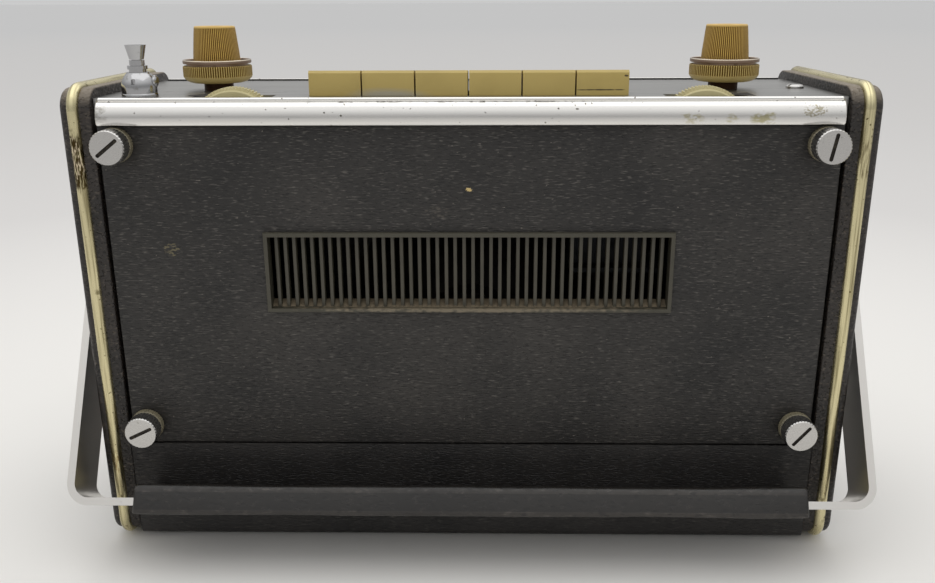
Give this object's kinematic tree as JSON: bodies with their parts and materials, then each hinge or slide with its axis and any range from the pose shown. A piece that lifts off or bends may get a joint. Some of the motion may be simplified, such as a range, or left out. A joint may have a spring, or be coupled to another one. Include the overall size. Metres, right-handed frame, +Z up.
{
  "type": "portable radio",
  "caption": "Suitcase-shaped portable radio: leatherette case, screwed rear cover with vent, top deck of keys and knobs, folding handle, telescopic aerial.",
  "frame": {"origin": "on the table under the middle of the whole outline, with the handle folded down behind the case", "axes": "+X to the right of the rear cover as the picture shows it, +Y from the rear cover to the loudspeaker side, +Z up"},
  "size_m": [0.3226, 0.1194, 0.2088],
  "materials": {
    "covered_board": "wooden board under charcoal leatherette",
    "covered_cheek": "wooden board under brown-black grained leatherette",
    "gold_bead": "worn pale gold bead",
    "foot_rubber": "matt black",
    "vent_plastic": "dusty olive grey",
    "nickel": "dull nickel plate with handling marks",
    "olive_brass": "tarnished brass",
    "zinc_sheet": "zinc plated sheet",
    "polished_trim": "polished, with pits and yellow stains",
    "brushed_deck": "brushed lengthwise",
    "grille_metal": "satin",
    "cloth": "black loudspeaker cloth",
    "bezel_plastic": "dark gloss",
    "pane": "clear",
    "scale_paint": "cream paint with plain numbers",
    "pointer_red": "red",
    "drive_brass": "plain brass",
    "cord": "waxed cord",
    "drum_plastic": "cream",
    "capacitor_metal": "plain",
    "key_plastic": "khaki, worn semi gloss",
    "ochre_plastic": "ochre, fluted",
    "olive_plastic": "olive ochre, fluted",
    "ring_metal": "worn nickel plate",
    "bush_metal": "blackened",
    "wheel_plastic": "cream khaki, toothed rim",
    "chrome": "bright with haze",
    "strap_metal": "satin",
    "grip_leather": "charcoal leatherette, smooth grain",
    "speaker_steel": "plated",
    "cone_paper": "pressed paper",
    "board": "brown laminate with components",
    "ferrite": "ferrite",
    "tray_plastic": "moulded",
    "cell_can": "painted cell jackets, plain"
  },
  "bodies": {
    "case": {"cabinet_frame": "covered_board", "rear_cover": "covered_board", "left_cheek": "covered_cheek", "right_cheek": "covered_cheek", "cheek_beads": "gold_bead", "feet": "foot_rubber", "vent_grille": "vent_plastic", "cover_screws": "nickel", "deck_screws": "nickel", "handle_pivots": "nickel", "cover_collars": "olive_brass", "chassis_brackets": "zinc_sheet", "key_frame": "zinc_sheet", "key_springs": "zinc_sheet", "wheel_controls": "zinc_sheet", "rear_trim": "polished_trim", "front_trim": "polished_trim", "deck_plate": "brushed_deck", "speaker_grille": "grille_metal", "grille_cloth": "cloth", "dial_bezel": "bezel_plastic", "dial_window": "pane", "dial_scale": "scale_paint", "cord_pulleys": "drive_brass", "drive_cord": "cord", "tuning_capacitor": "capacitor_metal", "control_bushes": "bush_metal", "aerial_base": "chrome", "aerial_guide": "chrome", "speaker_basket": "speaker_steel", "circuit_board": "board", "ferrite_rod": "ferrite", "battery_tray": "tray_plastic", "batteries": "cell_can"},
    "handle": {"handle_strap": "strap_metal", "handle_grip": "grip_leather"},
    "key_1": {"key_1": "key_plastic"},
    "key_2": {"key_2": "key_plastic"},
    "key_3": {"key_3": "key_plastic"},
    "key_4": {"key_4": "key_plastic"},
    "key_5": {"key_5": "key_plastic"},
    "key_6": {"key_6": "key_plastic"},
    "volume": {"volume_knob": "ochre_plastic", "volume_shaft": "drive_brass"},
    "tone": {"tone_knob": "olive_plastic", "tone_ring": "ring_metal", "tone_shaft": "drive_brass"},
    "fine_tuning": {"fine_tuning_knob": "ochre_plastic", "fine_tuning_shaft": "drive_brass"},
    "tuning": {"tuning_knob": "olive_plastic", "tuning_ring": "ring_metal", "tuning_shaft": "drive_brass"},
    "drum": {"tuning_drum": "drum_plastic"},
    "pointer": {"dial_pointer": "pointer_red"},
    "bass": {"bass_wheel": "wheel_plastic"},
    "treble": {"treble_wheel": "wheel_plastic"},
    "mast_lower": {"mast_lower": "chrome"},
    "mast_middle": {"mast_middle": "chrome"},
    "mast_tip": {"mast_tip": "chrome"},
    "cone": {"speaker_cone": "cone_paper"}
  },
  "joints": [
    {"name": "handle_swing", "type": "hinge", "parent": "case", "child": "handle", "pos_m": [0, 0.01185, 0.1257], "axis": [-1, 0, 0], "range_deg": [0, 299]},
    {"name": "key_1_press", "type": "slide", "parent": "case", "child": "key_1", "axis": [0, 0, -1], "range_m": [0, 0.0045], "stiffness_N_per_m": 400, "deforming": ["key_springs"]},
    {"name": "key_2_press", "type": "slide", "parent": "case", "child": "key_2", "axis": [0, 0, -1], "range_m": [0, 0.0045], "stiffness_N_per_m": 400, "deforming": ["key_springs"]},
    {"name": "key_3_press", "type": "slide", "parent": "case", "child": "key_3", "axis": [0, 0, -1], "range_m": [0, 0.0045], "stiffness_N_per_m": 400, "deforming": ["key_springs"]},
    {"name": "key_4_press", "type": "slide", "parent": "case", "child": "key_4", "axis": [0, 0, -1], "range_m": [0, 0.0045], "stiffness_N_per_m": 400, "deforming": ["key_springs"]},
    {"name": "key_5_press", "type": "slide", "parent": "case", "child": "key_5", "axis": [0, 0, -1], "range_m": [0, 0.0045], "stiffness_N_per_m": 400, "deforming": ["key_springs"]},
    {"name": "key_6_press", "type": "slide", "parent": "case", "child": "key_6", "axis": [0, 0, -1], "range_m": [0, 0.0045], "stiffness_N_per_m": 400, "deforming": ["key_springs"]},
    {"name": "volume_turn", "type": "hinge", "parent": "case", "child": "volume", "pos_m": [-0.10125, 0.00385, 0.1923], "axis": [0, 0, 1], "range_deg": [-140, 140]},
    {"name": "tone_turn", "type": "hinge", "parent": "case", "child": "tone", "pos_m": [-0.10125, 0.00385, 0.1893], "axis": [0, 0, 1], "range_deg": [-140, 140]},
    {"name": "fine_tuning_turn", "type": "hinge", "parent": "case", "child": "fine_tuning", "pos_m": [0.10125, 0.00385, 0.1923], "axis": [0, 0, 1], "range_deg": [-140, 140]},
    {"name": "tuning_turn", "type": "hinge", "parent": "case", "child": "tuning", "pos_m": [0.10125, 0.00385, 0.1893], "axis": [0, 0, 1], "range_deg": [-1150, 1150]},
    {"name": "drum_turn", "type": "hinge", "parent": "case", "child": "drum", "pos_m": [0.05725, 0.0081, 0.1499], "axis": [0, 0, 1], "range_deg": [-153.34, 153.34]},
    {"name": "pointer_slide", "type": "slide", "parent": "case", "child": "pointer", "axis": [1, 0, 0], "range_m": [-0.0803, 0.0803]},
    {"name": "bass_turn", "type": "hinge", "parent": "case", "child": "bass", "pos_m": [-0.088, -0.02415, 0.1703], "axis": [0, 1, 0], "range_deg": [-135, 135]},
    {"name": "treble_turn", "type": "hinge", "parent": "case", "child": "treble", "pos_m": [0.088, -0.02415, 0.1703], "axis": [0, 1, 0], "range_deg": [-135, 135]},
    {"name": "mast_lower_pull", "type": "slide", "parent": "case", "child": "mast_lower", "axis": [0, 0, 1], "range_m": [0, 0.12]},
    {"name": "mast_middle_pull", "type": "slide", "parent": "mast_lower", "child": "mast_middle", "axis": [0, 0, 1], "range_m": [0, 0.125]},
    {"name": "mast_tip_pull", "type": "slide", "parent": "mast_middle", "child": "mast_tip", "axis": [0, 0, 1], "range_m": [0, 0.125]},
    {"name": "cone_travel", "type": "slide", "parent": "case", "child": "cone", "axis": [0, 1, 0], "range_m": [-0.001, 0.001], "stiffness_N_per_m": 2000}
  ],
  "couplings": [
    {"joint": "drum_turn", "follows": "tuning_turn", "ratio": 0.13333},
    {"joint": "pointer_slide", "follows": "tuning_turn", "m_per_rad": -0.004}
  ]
}
